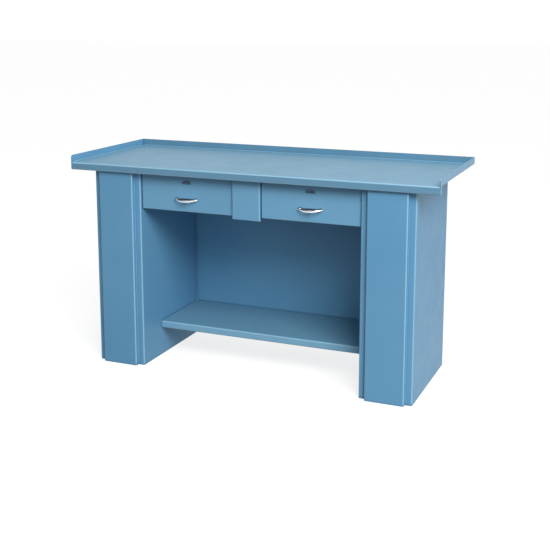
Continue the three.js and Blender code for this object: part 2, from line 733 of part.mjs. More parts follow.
function lockHousing(centre) {
  const start = DRAWER_FACE + LOCK_CUP_DEPTH + GAP;
  const end = DRAWER_FACE + LOCK_HOUSING_END;
  const tube = rodAlongY(LOCK_HOUSING_RADIUS, centre, LOCK_LEVEL, start, end, 24);
  const nut = rodAlongY(LOCK_HOUSING_RADIUS + 3.5, centre, LOCK_LEVEL, start + 4, start + 9, 6);
  const bore = rodAlongY(BARREL_RADIUS + GAP, centre, LOCK_LEVEL, start - 1, end + 1, 24);
  return cut(join(tube, nut), bore);
}

function lockBarrel(centre) {
  const face = DRAWER_FACE + 1.5;
  const plug = rodAlongY(BARREL_RADIUS, centre, LOCK_LEVEL, face, BARREL_END, 24);
  const keyway = block(centre - 0.9, centre + 0.9, face - 1, face + 5, LOCK_LEVEL - 3.6, LOCK_LEVEL + 3.6);
  return cut(plug, keyway);
}

// A flat finger with round ends on the end of the barrel. It lies level when the drawer is free.
function lockCam(centre) {
  const radius = CAM_WIDTH / 2;
  const finger = new THREE.Shape();
  finger.absarc(centre, LOCK_LEVEL, radius, Math.PI / 2, 1.5 * Math.PI);
  finger.absarc(centre + CAM_LENGTH, LOCK_LEVEL, radius, -Math.PI / 2, Math.PI / 2);
  finger.closePath();
  const start = BARREL_END + GAP;
  return alongY(finger, start, start + CAM_THICKNESS, ARCH_STEPS);
}

function addDrawer(word, side) {
  const centre = side * DRAWER_CENTRE;
  addPiece(`drawer_${word}_front`, drawerFront(centre), 'paint');
  addPiece(`drawer_${word}_box`, drawerBox(side), 'paint');
  addPiece(`drawer_${word}_handle`, bowHandle(centre), 'chrome');
  addPiece(`handle_plate_${word}`, handlePlate(centre), 'dark');
  const [first, second] = handleFeet(centre);
  addPiece(`handle_screw_${word}_a`, handleScrew(first), 'zinc');
  addPiece(`handle_screw_${word}_b`, handleScrew(second), 'zinc');
  for (const place of ['outer', 'inner']) {
    addPiece(`drawer_${word}_${place}_runner`, drawerRunner(side, place), 'nylon');
    addPiece(`rail_${word}_${place}`, drawerRail(side, place), 'zinc');
  }
  addPiece(`lock_${word}_cup`, lockCup(centre), 'dark');
  addPiece(`lock_${word}_housing`, lockHousing(centre), 'zinc');
  addPiece(`lock_${word}_barrel`, lockBarrel(centre), 'zinc');
  addPiece(`lock_${word}_cam`, lockCam(centre), 'zinc');
  const buffer = rodAlongY(
    BUFFER_RADIUS, centre, RUNNER_LEVEL, BOX_BACK + RUNNING_CLEARANCE, BACK_PANEL_FACE - GAP,
  );
  addPiece(`drawer_buffer_${word}`, buffer, 'rubber');
}

// ---------------------------------------------------------------- assembly

addPiece('worktop_tray', worktopTray(), 'paint');
addPiece('centre_hanger', centreHanger(), 'paint');
addPiece('centre_panel', centrePanel(), 'paint');
addPiece('back_panel', backPanel(), 'paint');
addPiece('lower_shelf', lowerShelf(), 'paint');
addPiece('shelf_stiffener', shelfStiffener(), 'paint');

for (const [word, side] of [['left', -1], ['right', 1]]) {
  addPiece(`worktop_stiffener_${word}`, worktopStiffener(side * DRAWER_CENTRE), 'paint');
  addPiece(`strike_rail_${word}`, strikeRail(side), 'paint');
  addPiece(`shelf_bracket_${word}`, shelfBracket(side), 'paint');
  addPedestal(word, side);
  addDrawer(word, side);
}

export default bench;
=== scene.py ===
"""A sheet-steel workbench with drawers: finishes, small parts and a studio around its CAD frame."""

import json
import math

import bmesh
import bpy
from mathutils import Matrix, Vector


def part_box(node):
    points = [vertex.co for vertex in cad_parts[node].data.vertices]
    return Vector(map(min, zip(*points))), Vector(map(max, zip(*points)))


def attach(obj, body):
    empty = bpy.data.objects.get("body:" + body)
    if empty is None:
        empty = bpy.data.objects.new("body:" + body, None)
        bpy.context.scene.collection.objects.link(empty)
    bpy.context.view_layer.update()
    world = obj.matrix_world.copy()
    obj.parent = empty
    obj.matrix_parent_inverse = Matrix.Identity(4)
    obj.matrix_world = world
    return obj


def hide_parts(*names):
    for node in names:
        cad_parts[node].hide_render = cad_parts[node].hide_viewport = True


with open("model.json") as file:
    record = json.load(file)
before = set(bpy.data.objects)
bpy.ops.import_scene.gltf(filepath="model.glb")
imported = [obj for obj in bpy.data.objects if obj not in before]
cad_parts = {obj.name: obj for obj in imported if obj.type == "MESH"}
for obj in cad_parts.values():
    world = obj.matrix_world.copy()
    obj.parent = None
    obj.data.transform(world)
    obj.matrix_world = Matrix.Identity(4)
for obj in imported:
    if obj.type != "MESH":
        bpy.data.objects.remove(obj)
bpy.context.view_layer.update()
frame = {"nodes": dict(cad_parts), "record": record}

SIDES = ("left", "right")
MM = 0.001


# ---------------------------------------------------------------- camera, lights and floor

CAMERA_PLACE = Vector((1.51875, -3.59359, 1.41138))
CAMERA_AZIMUTH = 22.709
CAMERA_PITCH = 10.292
CAMERA_LENS = 64.962
CAMERA_SENSOR = 36.0
CAMERA_SHIFT = -0.15

# The world glows toward two ways. A spread is the range of the cosine from the way over which
# a glow rises from nothing to its full strength.
BACKDROP_WAY = (-0.386, 0.922, 0.05)
BACKDROP_SPREAD = (0.35, 0.95)
SKY_WAY = (0.6, -0.45, 0.66)
SKY_SPREAD = (-0.2, 1.0)
GLOW_STRENGTH = 1.05

KEY_PLACE = (2.7, -3.2, 3.5)
KEY_TARGET = (0.2, 0.0, 0.45)
KEY_SIZE = 2.2
KEY_POWER = 222
KEY_COLOR = (1.0, 0.99, 0.975)

FLOOR_REACH = 40.0
FLOOR_GREY = (0.3, 0.3, 0.3, 1.0)
FLOOR_ROUGHNESS = 0.9
FLOOR_GLOW = 0.78
WHITE = (1.0, 1.0, 1.0, 1.0)


def add_camera():
    azimuth = math.radians(CAMERA_AZIMUTH)
    pitch = math.radians(CAMERA_PITCH)
    forward = Vector(
        (
            -math.sin(azimuth) * math.cos(pitch),
            math.cos(azimuth) * math.cos(pitch),
            -math.sin(pitch),
        )
    )
    data = bpy.data.cameras.new("camera")
    data.lens = CAMERA_LENS
    data.sensor_width = CAMERA_SENSOR
    data.shift_y = CAMERA_SHIFT
    camera = bpy.data.objects.new("camera", data)
    camera.location = CAMERA_PLACE
    camera.rotation_mode = "QUATERNION"
    camera.rotation_quaternion = forward.to_track_quat("-Z", "Y")
    bpy.context.scene.collection.objects.link(camera)
    bpy.context.scene.camera = camera


def add_key_light():
    """One broad light, high at the front right."""
    data = bpy.data.lights.new("key", "AREA")
    data.shape = "RECTANGLE"
    data.size = KEY_SIZE
    data.size_y = KEY_SIZE
    data.energy = KEY_POWER
    data.color = KEY_COLOR
    light = bpy.data.objects.new("key", data)
    light.location = KEY_PLACE
    toward = Vector(KEY_TARGET) - Vector(KEY_PLACE)
    light.rotation_mode = "QUATERNION"
    light.rotation_quaternion = toward.to_track_quat("-Z", "Y")
    bpy.context.scene.collection.objects.link(light)


def light_world():
    """A world that glows behind the bench and high at its front right, and is dark elsewhere."""
    world = bpy.data.worlds.new("studio")
    world.use_nodes = True
    nodes = world.node_tree.nodes
    links = world.node_tree.links
    direction = nodes.new("ShaderNodeTexCoord").outputs["Generated"]

    def glow_toward(way, spread):
        cosine = nodes.new("ShaderNodeVectorMath")
        cosine.operation = "DOT_PRODUCT"
        cosine.inputs[1].default_value = way
        links.new(direction, cosine.inputs[0])
        level = nodes.new("ShaderNodeMapRange")
        level.inputs["From Min"].default_value = spread[0]
        level.inputs["From Max"].default_value = spread[1]
        level.inputs["To Min"].default_value = 0.0
        level.inputs["To Max"].default_value = GLOW_STRENGTH
        links.new(cosine.outputs["Value"], level.inputs["Value"])
        return level.outputs["Result"]

    total = nodes.new("ShaderNodeMath")
    total.operation = "MAXIMUM"
    links.new(glow_toward(BACKDROP_WAY, BACKDROP_SPREAD), total.inputs[0])
    links.new(glow_toward(SKY_WAY, SKY_SPREAD), total.inputs[1])
    links.new(total.outputs[0], nodes["Background"].inputs["Strength"])
    nodes["Background"].inputs["Color"].default_value = WHITE
    bpy.context.scene.world = world
    bpy.context.scene.view_settings.view_transform = "Standard"


def add_floor():
    """A pale floor, which glows to stay white and is hidden from diffuse light, so it lights nothing."""
    data = bpy.data.meshes.new("floor")
    corners = [(x * FLOOR_REACH, y * FLOOR_REACH, 0) for x, y in ((-1, -1), (1, -1), (1, 1), (-1, 1))]
    data.from_pydata(corners, [], [(0, 1, 2, 3)])
    material = bpy.data.materials.new("pale_floor")
    material.use_nodes = True
    shader = material.node_tree.nodes["Principled BSDF"]
    shader.inputs["Base Color"].default_value = FLOOR_GREY
    shader.inputs["Roughness"].default_value = FLOOR_ROUGHNESS
    shader.inputs["Specular IOR Level"].default_value = 0.0
    shader.inputs["Emission Color"].default_value = WHITE
    shader.inputs["Emission Strength"].default_value = FLOOR_GLOW
    data.materials.append(material)
    floor = bpy.data.objects.new("floor", data)
    bpy.context.scene.collection.objects.link(floor)
    floor.visible_diffuse = False


# ---------------------------------------------------------------- material helpers


class Nodes:
    """A material's node tree, with short calls for the nodes used here."""

    def __init__(self, name):
        self.material = bpy.data.materials.new(name)
        self.material.use_nodes = True
        self.tree = self.material.node_tree
        self.shader = self.tree.nodes["Principled BSDF"]
        coordinates = self.tree.nodes.new("ShaderNodeTexCoord")
        self.place = coordinates.outputs["Object"]

    def link(self, source, target):
        self.tree.links.new(source, target)

    def stretched(self, scale):
        """Object coordinates, scaled by a different amount along each axis."""
        node = self.tree.nodes.new("ShaderNodeVectorMath")
        node.operation = "MULTIPLY"
        self.link(self.place, node.inputs[0])
        node.inputs[1].default_value = scale
        return node.outputs[0]

    def noise(self, scale, detail=4.0, roughness=0.55, at=None, distortion=0.0):
        node = self.tree.nodes.new("ShaderNodeTexNoise")
        node.inputs["Scale"].default_value = scale
        node.inputs["Detail"].default_value = detail
        node.inputs["Roughness"].default_value = roughness
        node.inputs["Distortion"].default_value = distortion
        self.link(at or self.place, node.inputs["Vector"])
        return node.outputs["Fac"]

    def cells(self, scale):
        node = self.tree.nodes.new("ShaderNodeTexVoronoi")
        node.inputs["Scale"].default_value = scale
        self.link(self.place, node.inputs["Vector"])
        return node.outputs["Color"]

    def ramp(self, source, low, high, start=0.0, end=1.0):
        """Maps low..high of the source onto start..end, clamped."""
        node = self.tree.nodes.new("ShaderNodeMapRange")
        node.inputs["From Min"].default_value = low
        node.inputs["From Max"].default_value = high
        node.inputs["To Min"].default_value = start
        node.inputs["To Max"].default_value = end
        self.link(source, node.inputs["Value"])
        return node.outputs["Result"]

    def math(self, operation, first, second):
        node = self.tree.nodes.new("ShaderNodeMath")
        node.operation = operation
        node.use_clamp = True
        for socket, value in zip(node.inputs, (first, second)):
            if isinstance(value, (int, float)):
                socket.default_value = value
            else:
                self.link(value, socket)
        return node.outputs[0]

    def mix(self, factor, first, second):
        node = self.tree.nodes.new("ShaderNodeMix")
        node.data_type = "RGBA"
        for key, value in ((0, factor), (6, first), (7, second)):
            if isinstance(value, (tuple, float, int)):
                node.inputs[key].default_value = (*value, 1) if isinstance(value, tuple) else value
            else:
                self.link(value, node.inputs[key])
        return node.outputs[2]

    def facing(self, axis, start, end):
        """Goes from 0 to 1 as the normal's part along an axis goes from start to end."""
        geometry = self.tree.nodes.new("ShaderNodeNewGeometry")
        split = self.tree.nodes.new("ShaderNodeSeparateXYZ")
        self.link(geometry.outputs["Normal"], split.inputs[0])
        return self.ramp(split.outputs[axis], start, end)

    def upward(self):
        """1 on faces that look up, 0 on the rest."""
        return self.facing("Z", 0.8, 0.98)

    def forward(self):
        """1 on faces that look to the front, 0 on the rest."""
        return self.facing("Y", -0.8, -0.98)

    def folds(self):
        """1 where the surface turns away from all three axes, as it does along every fold."""
        geometry = self.tree.nodes.new("ShaderNodeNewGeometry")
        size = self.tree.nodes.new("ShaderNodeVectorMath")
        size.operation = "ABSOLUTE"
        self.link(geometry.outputs["Normal"], size.inputs[0])
        split = self.tree.nodes.new("ShaderNodeSeparateXYZ")
        self.link(size.outputs[0], split.inputs[0])
        level = self.math("MAXIMUM", split.outputs["X"], split.outputs["Y"])
        nearest = self.math("MAXIMUM", level, split.outputs["Z"])
        return self.ramp(nearest, 0.992, 0.93)

    def openness(self, reach):
        """1 in the open, falling toward 0 deep in a crease."""
        node = self.tree.nodes.new("ShaderNodeAmbientOcclusion")
        node.samples = 6
        node.inputs["Distance"].default_value = reach
        return node.outputs["AO"]

    def edges(self, radius):
        """1 along edges and tight folds, from how far a rounded normal leaves the true one."""
        rounded = self.tree.nodes.new("ShaderNodeBevel")
        rounded.samples = 4
        rounded.inputs["Radius"].default_value = radius
        geometry = self.tree.nodes.new("ShaderNodeNewGeometry")
        dot = self.tree.nodes.new("ShaderNodeVectorMath")
        dot.operation = "DOT_PRODUCT"
        self.link(rounded.outputs["Normal"], dot.inputs[0])
        self.link(geometry.outputs["True Normal"], dot.inputs[1])
        return self.ramp(dot.outputs["Value"], 0.98, 0.8)

    def bump(self, height, distance, strength, after=None):
        """The normal after a height in metres, on top of another bump if one is given."""
        node = self.tree.nodes.new("ShaderNodeBump")
        node.inputs["Distance"].default_value = distance
        node.inputs["Strength"].default_value = strength
        self.link(height, node.inputs["Height"])
        if after:
            self.link(after, node.inputs["Normal"])
        return node.outputs["Normal"]

    def set(self, **values):
        """Links or sets the shader's sockets, and gives the finished material."""
        names = {
            "color": "Base Color",
            "roughness": "Roughness",
            "metallic": "Metallic",
            "normal": "Normal",
            "specular": "Specular IOR Level",
            "coat": "Coat Weight",
            "coat_roughness": "Coat Roughness",
        }
        for key, value in values.items():
            socket = self.shader.inputs[names[key]]
            if isinstance(value, bpy.types.NodeSocket):
                self.link(value, socket)
            else:
                socket.default_value = (*value, 1) if isinstance(value, tuple) else value
        return self.material


# ---------------------------------------------------------------- finishes

BLUE = (0.114, 0.300, 0.490)
BLUE_DEEP = (0.098, 0.274, 0.458)
BLUE_PALE = (0.33, 0.56, 0.68)
BLUE_SHADE = (0.03, 0.11, 0.2)
# Dust, and a painted sheen, on upward faces.
DUST_AND_SHEEN_BLUE = (0.15, 0.30, 0.38)
# A painted shade for the worktop's forward faces.
FRONT_SHADE_BLUE = (0.085, 0.20, 0.30)
PRIMER_GREY = (0.33, 0.34, 0.34)
ENAMEL_GLOSS = 0.12
WORKTOP_GLOSS = 0.4


def enamel_color(n, dust_and_sheen, painted_highlight, front):
    """Clouded blue under dust and a painted sheen on upward faces, painted shade in the creases, a painted
    highlight on the folds, and chipped on raw edges.
    """
    cloud = n.ramp(n.noise(2.2, 3.0), 0.35, 0.65)
    speckle = n.ramp(n.noise(420.0, 2.0), 0.3, 0.7)
    color = n.mix(cloud, BLUE_DEEP, BLUE)
    # A painted highlight: the whole face is lifted toward pale blue.
    color = n.mix(painted_highlight, color, BLUE_PALE)
    # Painted light on faces that look forward, clouded by noise.
    if front:
        front_light_color, share = front
        wear_and_painted_light = n.math("MULTIPLY", n.forward(), n.ramp(n.noise(11.0, 5.0), 0.3, 0.7, 0.8 * share, share))
        color = n.mix(wear_and_painted_light, color, front_light_color)
    color = n.mix(n.math("MULTIPLY", speckle, 0.07), color, BLUE_PALE)
    # Dust and a painted sheen: upward faces are turned greyer and paler.
    color = n.mix(n.math("MULTIPLY", dust_and_sheen, 0.62), color, DUST_AND_SHEEN_BLUE)
    # Painted shade: ambient occlusion darkens the creases toward a shade blue.
    openness = n.openness(14 * MM)
    crease_shade = n.ramp(openness, 0.8, 0.45)
    color = n.mix(n.math("MULTIPLY", crease_shade, 0.55), color, BLUE_SHADE)
    # A painted highlight along the convex folds, kept out of the creases.
    fold_highlight = n.math("MULTIPLY", n.folds(), n.ramp(openness, 0.75, 0.92))
    color = n.mix(n.math("MULTIPLY", fold_highlight, 0.55), color, BLUE_PALE)
    edge = n.edges(1.2 * MM)
    chips = n.math("MULTIPLY", edge, n.ramp(n.noise(55.0, 6.0, 0.7), 0.63, 0.67))
    return n.mix(chips, color, PRIMER_GREY)


def worktop_scratches(n):
    """Fine scratches along and across the upward faces."""
    along = n.noise(9.0, 8.0, 0.75, at=n.stretched((1.0, 60.0, 1.0)), distortion=0.3)
    across = n.noise(9.0, 8.0, 0.75, at=n.stretched((45.0, 1.0, 1.0)), distortion=0.3)
    marks = n.math("MAXIMUM", n.ramp(along, 0.60, 0.66), n.ramp(across, 0.64, 0.70))
    return n.math("MULTIPLY", marks, n.upward())


def enamel(name, worktop=False, painted_highlight=0.0, front=None):
    """Stoved enamel on sheet steel: orange peel over a slight ripple, dulled where dust settles.

    `front` is a colour painted onto faces that look forward, and how far it goes: painted light, a shade
    on the worktop's apron and a paler tone on the shelf's front.
    """
    n = Nodes(name)
    # Upward faces, clouded: dust that dulls the enamel, and in the colour also a painted sheen.
    dust_and_sheen = n.math("MULTIPLY", n.upward(), n.ramp(n.noise(6.0, 6.0), 0.25, 0.75, 0.6, 1.0))
    color = enamel_color(n, dust_and_sheen, painted_highlight, front)
    roughness = n.ramp(n.noise(14.0, 5.0), 0.3, 0.7, 0.36, 0.46)
    roughness = n.math("ADD", roughness, n.math("MULTIPLY", dust_and_sheen, 0.14))
    peel = n.noise(260.0, 2.0, 0.5)
    normal = n.bump(peel, 0.12 * MM, 0.35)
    ripple = n.noise(7.0, 1.0, 0.4)
    normal = n.bump(ripple, 4.0 * MM, 0.12, after=normal)
    if worktop:
        marks = worktop_scratches(n)
        color = n.mix(n.math("MULTIPLY", marks, 0.22), color, BLUE_PALE)
        roughness = n.math("ADD", roughness, n.math("MULTIPLY", marks, 0.08))
        normal = n.bump(marks, 0.05 * MM, 0.5, after=normal)
    return n.set(
        color=color,
        roughness=roughness,
        normal=normal,
        specular=WORKTOP_GLOSS if worktop else ENAMEL_GLOSS,
        coat=0.05,
        coat_roughness=0.2,
    )


def zinc():
    """Bright zinc plating: faint spangle, drawing lines and dulled patches."""
    n = Nodes("zinc_plate")
    spangle = n.mix(0.25, (0.56, 0.57, 0.58), n.cells(180.0))
    dull = n.ramp(n.noise(40.0, 5.0), 0.4, 0.7)
    color = n.mix(n.math("MULTIPLY", dull, 0.35), (0.58, 0.59, 0.6), (0.42, 0.43, 0.42))
    color = n.mix(0.12, color, spangle)
    edge = n.edges(0.8 * MM)
    color = n.mix(n.math("MULTIPLY", edge, 0.4), color, (0.72, 0.73, 0.74))
    roughness = n.ramp(dull, 0.0, 1.0, 0.26, 0.44)
    drawn = n.noise(60.0, 4.0, 0.6, at=n.stretched((12.0, 1.0, 12.0)))
    normal = n.bump(drawn, 0.03 * MM, 0.5)
    return n.set(color=color, roughness=roughness, metallic=1.0, normal=normal)


def chrome():
    """Bright chrome with fine rubbing marks and a few dull pits."""
    n = Nodes("chrome")
    rub = n.noise(180.0, 6.0, 0.7, at=n.stretched((1.0, 6.0, 6.0)))
    pits = n.ramp(n.noise(900.0, 2.0), 0.72, 0.78)
    color = n.mix(pits, (0.83, 0.84, 0.85), (0.45, 0.44, 0.42))
    roughness = n.math("ADD", n.ramp(rub, 0.4, 0.7, 0.07, 0.16), n.math("MULTIPLY", pits, 0.3))
    normal = n.bump(rub, 0.01 * MM, 0.4)
    return n.set(color=color, roughness=roughness, metallic=1.0, normal=normal)


def dark_metal(name, deep, light):
    """A dark satin finish on small pressings, rubbed bright on its edges."""
    n = Nodes(name)
    mottle = n.ramp(n.noise(70.0, 5.0), 0.3, 0.7)
    color = n.mix(mottle, deep, light)
    wear_and_painted_light = n.math("MULTIPLY", n.edges(0.5 * MM), n.ramp(n.noise(300.0, 4.0), 0.4, 0.6))
    color = n.mix(n.math("MULTIPLY", wear_and_painted_light, 0.6), color, (0.3, 0.31, 0.32))
    roughness = n.ramp(mottle, 0.0, 1.0, 0.38, 0.52)
    return n.set(color=color, roughness=roughness, normal=n.bump(mottle, 0.03 * MM, 0.5))


def nylon():
    """Natural nylon, polished by the rail along its faces."""
    n = Nodes("white_nylon")
    stain = n.ramp(n.noise(25.0, 5.0), 0.35, 0.75)
    color = n.mix(stain, (0.72, 0.71, 0.66), (0.6, 0.58, 0.51))
    streak = n.noise(30.0, 6.0, 0.6, at=n.stretched((8.0, 0.6, 8.0)))
    roughness = n.ramp(streak, 0.3, 0.7, 0.38, 0.6)
    return n.set(color=color, roughness=roughness, normal=n.bump(streak, 0.05 * MM, 0.6))


def rubber():
    """Black rubber with a bloom and a moulded grain."""
    n = Nodes("black_rubber")
    bloom = n.ramp(n.noise(90.0, 6.0), 0.4, 0.75)
    color = n.mix(bloom, (0.018, 0.018, 0.019), (0.05, 0.05, 0.048))
    roughness = n.ramp(bloom, 0.0, 1.0, 0.7, 0.9)
    grain = n.noise(1400.0, 2.0)
    return n.set(color=color, roughness=roughness, normal=n.bump(grain, 0.08 * MM, 0.6))


def make_finishes():
    return {
        "blue_paint": enamel("blue_enamel"),
        # The worktop's forward faces get a painted shade.
        "worktop_paint": enamel("worktop_enamel", worktop=True, front=(FRONT_SHADE_BLUE, 0.85)),
        # The shelf's forward faces get a painted highlight.
        "shelf_paint": enamel("shelf_enamel", front=(BLUE_PALE, 0.33)),
        # The drawer fronts and centre panel are painted paler: a painted highlight.
        "front_paint": enamel("front_enamel", painted_highlight=0.12),
        # Dark blue lock cups: a painted shade in their recesses.
        "shaded_lock_blue": dark_metal("shaded_lock_blue", (0.045, 0.13, 0.21), (0.075, 0.18, 0.28)),
        "lock_steel": dark_metal("lock_steel", (0.09, 0.13, 0.17), (0.16, 0.2, 0.25)),
        "zinc_plate": zinc(),
        "chrome": chrome(),
        # Near black: on the handle backplates it is a painted shade behind the bows.
        "dark_metal": dark_metal("dark_metal", (0.012, 0.02, 0.03), (0.028, 0.04, 0.052)),
        "white_nylon": nylon(),
        "black_rubber": rubber(),
    }


# ---------------------------------------------------------------- CAD nodes that stay


def smooth(mesh):
    mesh.polygons.foreach_set("use_smooth", [True] * len(mesh.polygons))


WELD_DISTANCE = 0.01 * MM
FLAT_ANGLE = 1.0
RAW_EDGE_RADIUS = 0.4 * MM
RAW_EDGE_SEGMENTS = 2
RAW_EDGE_ANGLE = 50.0
FLAT_FACE_WEIGHT = 80


def dress_node(name, finish):
    """Gives a CAD node its finish, rounds its raw edges, and leaves its own mesh as it is."""
    piece = frame["nodes"][name]
    piece.data.materials.clear()
    piece.data.materials.append(finish)
    smooth(piece.data)
    weld = piece.modifiers.new("weld", "WELD")
    weld.merge_threshold = WELD_DISTANCE
    flat = piece.modifiers.new("flat", "DECIMATE")
    flat.decimate_type = "DISSOLVE"
    flat.angle_limit = math.radians(FLAT_ANGLE)
    round_edges(piece)


def round_edges(piece):
    bevel = piece.modifiers.new("round_edges", "BEVEL")
    bevel.width = RAW_EDGE_RADIUS
    bevel.segments = RAW_EDGE_SEGMENTS
    bevel.limit_method = "ANGLE"
    bevel.angle_limit = math.radians(RAW_EDGE_ANGLE)
    bevel.use_clamp_overlap = True
    weighted = piece.modifiers.new("weighted", "WEIGHTED_NORMAL")
    weighted.keep_sharp = False
    weighted.weight = FLAT_FACE_WEIGHT


def slot_of_nodes():
    return {part["node"]: part["material_slot"] for part in frame["record"]["subparts"]}


OWN_FINISHES = {
    "worktop_tray": "worktop_paint",
    "centre_panel": "front_paint",
    "drawer_left_front": "front_paint",
    "drawer_right_front": "front_paint",
    "lower_shelf": "shelf_paint",
    "lock_left_cup": "shaded_lock_blue",
    "lock_right_cup": "shaded_lock_blue",
    "lock_left_barrel": "lock_steel",
    "lock_right_barrel": "lock_steel",
}


def dress_all_nodes(finishes):
    for name, slot in slot_of_nodes().items():
        dress_node(name, finishes[OWN_FINISHES.get(name, slot)])


# ---------------------------------------------------------------- pieces built here


def loft(rings):
    """A closed mesh through rings of equal count, with a flat fan over each end."""
    mesh = bmesh.new()
    loops = [[mesh.verts.new(point) for point in ring] for ring in rings]
    count = len(loops[0])
    for near, far in zip(loops, loops[1:]):
        for i in range(count):
            j = (i + 1) % count
            mesh.faces.new((near[i], near[j], far[j], far[i]))
    for end in (loops[0], loops[-1]):
        centre = mesh.verts.new(sum((v.co for v in end), Vector()) / count)
        for i in range(count):
            mesh.faces.new((end[i], end[(i + 1) % count], centre))
    bmesh.ops.recalc_face_normals(mesh, faces=mesh.faces)
    return mesh


def merge(*parts):
    """One mesh holding several closed ones."""
    whole = bpy.data.meshes.new("merged")
    joined = bmesh.new()
    for part in parts:
        part.to_mesh(whole)
        part.free()
        joined.from_mesh(whole)
    bpy.data.meshes.remove(whole)
    return joined


def add_piece(name, mesh, finish, body, node=None):
    """Puts a piece on its body, in place of a CAD node if one is named."""
    data = bpy.data.meshes.new(name)
    mesh.to_mesh(data)
    mesh.free()
    smooth(data)
    data.materials.append(finish)
    piece = bpy.data.objects.new(name, data)
    bpy.context.scene.collection.objects.link(piece)
    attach(piece, body)
    if node:
        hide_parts(node)


def ellipse(centre, half_across, half_up, across, up, count=24):
    """A ring of points round a centre, in the plane of two directions."""
    turn = 2 * math.pi / count
    return [
        centre + across * (half_across * math.cos(i * turn)) + up * (half_up * math.sin(i * turn))
        for i in range(count)
    ]


def box_centre(box):
    return (Vector(box[0]) + Vector(box[1])) / 2


ALONG = Vector((1, 0, 0))
FORWARD = Vector((0, -1, 0))
UP = Vector((0, 0, 1))

# The tip gap is counted in steps between rings. A lower fullness keeps the bar thick further out.
HANDLE_RINGS = 48
HANDLE_TIP_GAP = 0.35
HANDLE_END_REACH = 4.0 * MM
HANDLE_DROP = 5.0 * MM
HANDLE_HALF_DEPTH = 3.0 * MM
HANDLE_HALF_HEIGHT = 4.2 * MM
HANDLE_FULLNESS = 0.62

# How far each ring of a foot stands out from the plate, and its radius, in millimetres.
FOOT_PROFILE = (
    (0.0, 5.6),
    (0.6, 5.9),
    (1.4, 5.7),
    (2.8, 4.7),
    (4.6, 4.4),
    (6.4, 4.1),
    (7.6, 3.1),
    (8.1, 1.4),
)
FOOT_SQUASH = 0.8

STEM_STEPS = 10
STEM_HALF_WIDTH = 8.0 * MM
STEM_WAIST = 0.16
STEM_ROOT_HALF_HEIGHT = 4.4 * MM
STEM_TIP_HALF_HEIGHT = 2.2 * MM
STEM_CORNER = 1.8 * MM
STEM_FRONT_GAP = 4.0 * MM


def handle_bar(box):
    """The bowed bar: fullest in the middle, drawn out to a rounded point at each end."""
    low, high = Vector(box[0]), Vector(box[1])
    centre = box_centre(box)
    half_length = (high.x - low.x) / 2
    bow_reach = (high.y - low.y) - HANDLE_END_REACH - HANDLE_HALF_DEPTH
    end_level = high.z - HANDLE_END_REACH
    rings = []
    for i in range(HANDLE_RINGS + 1):
        angle = math.pi * (i + HANDLE_TIP_GAP) / (HANDLE_RINGS + 2 * HANDLE_TIP_GAP)
        share = -math.cos(angle)
        girth = math.sin(angle) ** HANDLE_FULLNESS
        bow = math.cos(share * math.pi / 2)
        middle = Vector((
            centre.x + share * half_length,
            high.y - HANDLE_END_REACH - bow_reach * bow,
            end_level - HANDLE_DROP * bow,
        ))
        half_depth = HANDLE_HALF_DEPTH * girth
        half_height = HANDLE_HALF_HEIGHT * girth
        rings.append(ellipse(middle, half_depth, half_height, FORWARD, UP))
    return loft(rings)


def handle_foot(x, back, level):
    """A round foot that swells from the bar and flares out onto the plate."""
    base = Vector((x, back, level))
    return loft([
        ellipse(base + FORWARD * (reach * MM), radius * MM, radius * FOOT_SQUASH * MM, ALONG, UP)
        for reach, radius in FOOT_PROFILE
    ])


def handle_stem(centre_x, back, front, level):
    """The middle stem: an oblong boss on the plate that thins and narrows toward the bar."""
    rings = []
    for i in range(STEM_STEPS + 1):
        share = i / STEM_STEPS
        waist = 1.0 - STEM_WAIST * math.sin(math.pi * share)
        half_up = STEM_ROOT_HALF_HEIGHT + (STEM_TIP_HALF_HEIGHT - STEM_ROOT_HALF_HEIGHT) * share
        centre = Vector((centre_x, back + (front - back) * share, level))
        rings.append(rounded_oblong(centre, STEM_HALF_WIDTH * waist, half_up, STEM_CORNER))
    return loft(rings)


def rounded_oblong(centre, half_across, half_up, radius, steps=6):
    """A rectangle with round corners, in X and Z."""
    points = []
    for quarter, (right, top) in enumerate(((1, 1), (-1, 1), (-1, -1), (1, -1))):
        corner = centre + ALONG * (right * (half_across - radius)) + UP * (top * (half_up - radius))
        for step in range(steps + 1):
            angle = (quarter + step / steps) * math.pi / 2
            outward = ALONG * math.cos(angle) + UP * math.sin(angle)
            points.append(corner + outward * radius)
    return points


def add_handle(word, finishes):
    node = f"drawer_{word}_handle"
    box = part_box(node)
    low, high = Vector(box[0]), Vector(box[1])
    centre = box_centre(box)
    feet = [box_centre(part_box(f"handle_screw_{word}_{end}")) for end in "ab"]
    level = high.z - HANDLE_END_REACH - HANDLE_DROP
    parts = [handle_bar(box), handle_stem(centre.x, high.y, low.y + STEM_FRONT_GAP, level)]
    parts += [handle_foot(foot.x, high.y, foot.z) for foot in feet]
    add_piece(f"bow_handle_{word}", merge(*parts), finishes["chrome"], f"drawer_{word}", node)


# A button head's outline. Each pair is a share of the head's height and a share of its radius.
HEAD_SIDES = 36
HEAD_RIM = ((0.0, 0.96), (0.08, 1.0), (0.22, 1.0))
HEAD_DOME_FOOT = 0.22
HEAD_DOME_STEPS = 7
HEAD_DOME_NARROWING = 0.36
HEAD_SOCKET = ((1.0, 0.56), (0.94, 0.5), (0.3, 0.49), (0.22, 0.44))


def hexagon_point(centre, angle, radius):
    """A point on a hexagon's outline, by its angle."""
    sector = math.pi / 3
    folded = (angle + sector / 2) % sector - sector / 2
    reach = radius * math.cos(sector / 2) / math.cos(folded)
    return centre + ALONG * (reach * math.cos(angle)) + UP * (reach * math.sin(angle))


